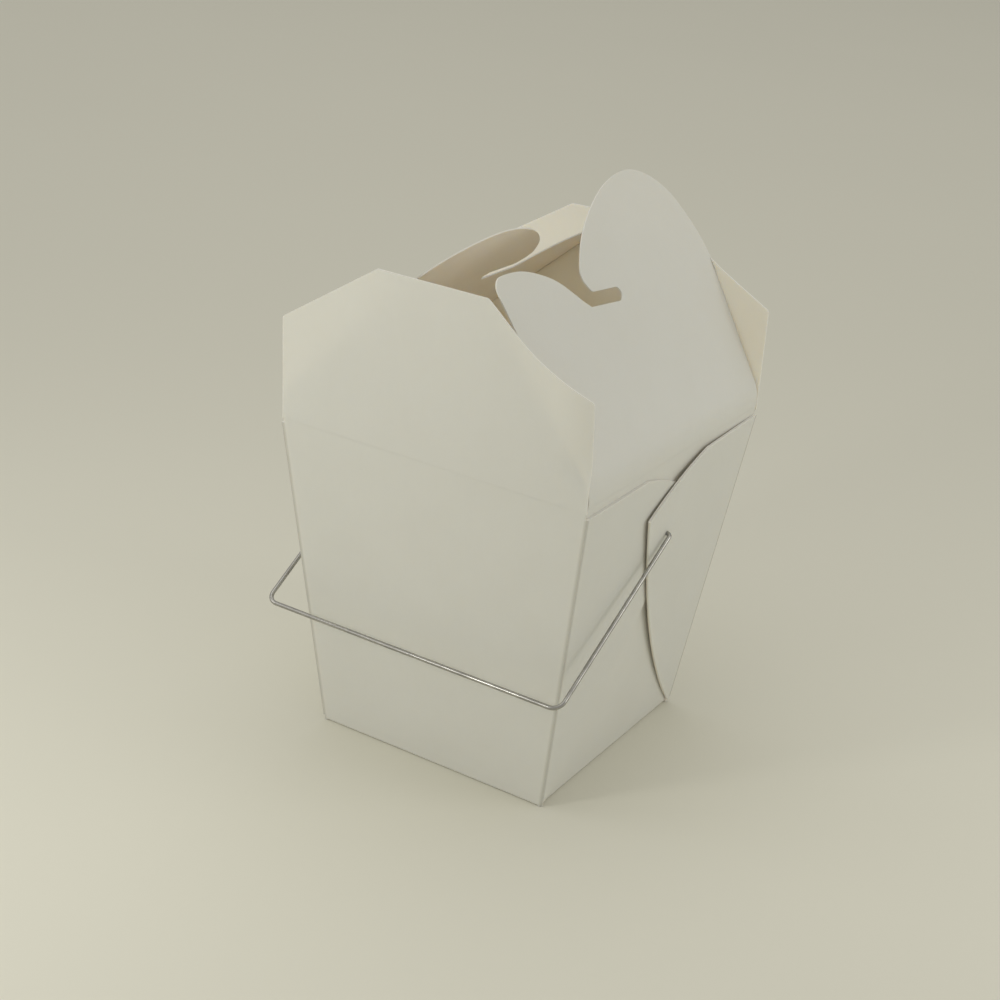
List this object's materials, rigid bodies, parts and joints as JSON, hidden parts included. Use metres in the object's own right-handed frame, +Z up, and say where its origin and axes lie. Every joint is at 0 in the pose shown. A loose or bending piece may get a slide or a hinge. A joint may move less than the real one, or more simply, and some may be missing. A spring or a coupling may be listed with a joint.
{
  "type": "takeout food box",
  "caption": "Folding paperboard food pail with a tapered square body, four top flaps with hooked lock flaps, folded corner ears and a wire bail.",
  "frame": {"origin": "middle of the pail's underside, on the surface it stands on", "axes": "+X along the broad front to the right, +Y from the front to the back, +Z up"},
  "size_m": [0.1102, 0.1181, 0.1856],
  "materials": {
    "board": "matte",
    "wire": "satin"
  },
  "bodies": {
    "pail": {"pail_body": "board"},
    "front_flap": {"front_flap": "board"},
    "back_flap": {"back_flap": "board"},
    "right_lock_flap": {"right_lock_flap": "board"},
    "left_lock_flap": {"left_lock_flap": "board"},
    "bail": {"wire_handle": "wire"}
  },
  "joints": [
    {"name": "front_flap_crease", "type": "hinge", "parent": "pail", "child": "front_flap", "pos_m": [0, -0.05579, 0.108], "axis": [1, 0, 0], "range_deg": [-3, 110]},
    {"name": "back_flap_crease", "type": "hinge", "parent": "pail", "child": "back_flap", "pos_m": [0, 0.05579, 0.108], "axis": [-1, 0, 0], "range_deg": [-0.8, 112]},
    {"name": "right_lock_flap_crease", "type": "hinge", "parent": "pail", "child": "right_lock_flap", "pos_m": [0.05336, 0, 0.1095], "axis": [0, 1, 0], "range_deg": [-5, 130]},
    {"name": "left_lock_flap_crease", "type": "hinge", "parent": "pail", "child": "left_lock_flap", "pos_m": [-0.05336, 0, 0.1095], "axis": [0, -1, 0], "range_deg": [-45, 143]},
    {"name": "bail_turn", "type": "hinge", "parent": "pail", "child": "bail", "pos_m": [0, 0, 0.0824], "axis": [-1, 0, 0], "range_deg": [-15, 40]}
  ]
}
